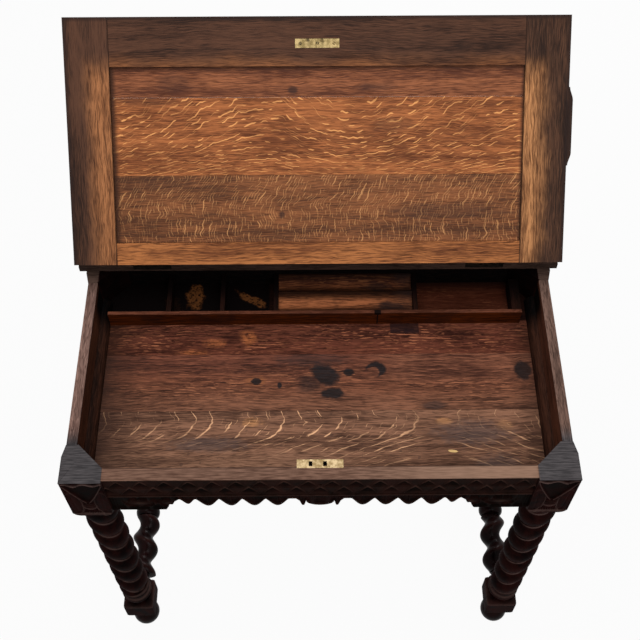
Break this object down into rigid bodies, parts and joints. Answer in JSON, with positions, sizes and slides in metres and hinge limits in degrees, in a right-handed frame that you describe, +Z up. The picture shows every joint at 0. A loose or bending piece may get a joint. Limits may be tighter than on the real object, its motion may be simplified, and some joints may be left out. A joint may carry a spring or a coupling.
{
  "type": "writing table",
  "caption": "Oak writing table with a hinged panelled lid over a shallow well with ink and pen compartments, scalloped apron, twist-turned legs and side stretchers on ball feet",
  "frame": {"origin": "on the floor, below the middle of the table's bounding box with the lid open", "axes": "+X to the sitter's right, +Y from the front to the back, +Z up"},
  "size_m": [0.8672, 0.7112, 1.1227],
  "materials": {
    "leg": "dark polished oak, twist-turned, carved at the top block",
    "foot": "dark polished oak, turned",
    "stretcher": "dark polished oak, twist-turned",
    "carved_rail": "dark polished oak with shallow carving",
    "case": "dark oak, worn along its top edges",
    "floor": "oak with ray flecks, ink-stained",
    "tray": "stained oak, worn on its arrises",
    "top_board": "dark polished oak with a moulded edge",
    "lid_frame": "polished oak, darker towards its edges",
    "lid_panel": "polished quarter-sawn oak with ray flecks",
    "brass": "aged brass",
    "iron": "dark iron"
  },
  "bodies": {
    "table": {"leg_front_left": "leg", "leg_front_right": "leg", "leg_rear_left": "leg", "leg_rear_right": "leg", "foot_front_left": "foot", "foot_front_right": "foot", "foot_rear_left": "foot", "foot_rear_right": "foot", "stretcher_left": "stretcher", "stretcher_right": "stretcher", "front_rail": "carved_rail", "side_board_left": "case", "side_board_right": "case", "back_board": "case", "floor_cleat_front": "case", "floor_cleat_back": "case", "floor_cleat_left": "case", "floor_cleat_right": "case", "floor_board_front": "floor", "floor_board_middle": "floor", "floor_board_back": "floor", "well_fillet_left": "floor", "well_fillet_right": "floor", "tray_strip_left": "tray", "tray_strip_right": "tray", "tray_divider_1": "tray", "tray_divider_2": "tray", "tray_divider_3": "tray", "tray_divider_4": "tray", "pen_tray": "tray", "tray_end_block": "tray", "fixed_top_board": "top_board", "lock_plate": "brass", "lock_case": "iron", "hinge_left_fixed_leaf": "iron", "hinge_left_pin": "iron", "hinge_right_fixed_leaf": "iron", "hinge_right_pin": "iron"},
    "lid": {"lid_stile_left": "lid_frame", "lid_stile_right": "lid_frame", "lid_lock_rail": "lid_frame", "lid_hinge_rail": "lid_frame", "lid_edge_strip": "lid_frame", "lid_panel_top": "lid_panel", "lid_panel_middle": "lid_panel", "lid_panel_bottom": "lid_panel", "lock_keeper": "brass", "keeper_hook_left": "brass", "keeper_hook_right": "brass", "hinge_left_lid_leaf": "iron", "hinge_right_lid_leaf": "iron"},
    "bolt": {"lock_bolt": "brass"}
  },
  "joints": [
    {"name": "lid_hinge", "type": "hinge", "parent": "table", "child": "lid", "pos_m": [-0.00365, 0.05738, 0.8126], "axis": [1, 0, 0], "range_deg": [0, 136]},
    {"name": "bolt_slide", "type": "slide", "parent": "table", "child": "bolt", "axis": [1, 0, 0], "range_m": [0, 0.0055]}
  ]
}
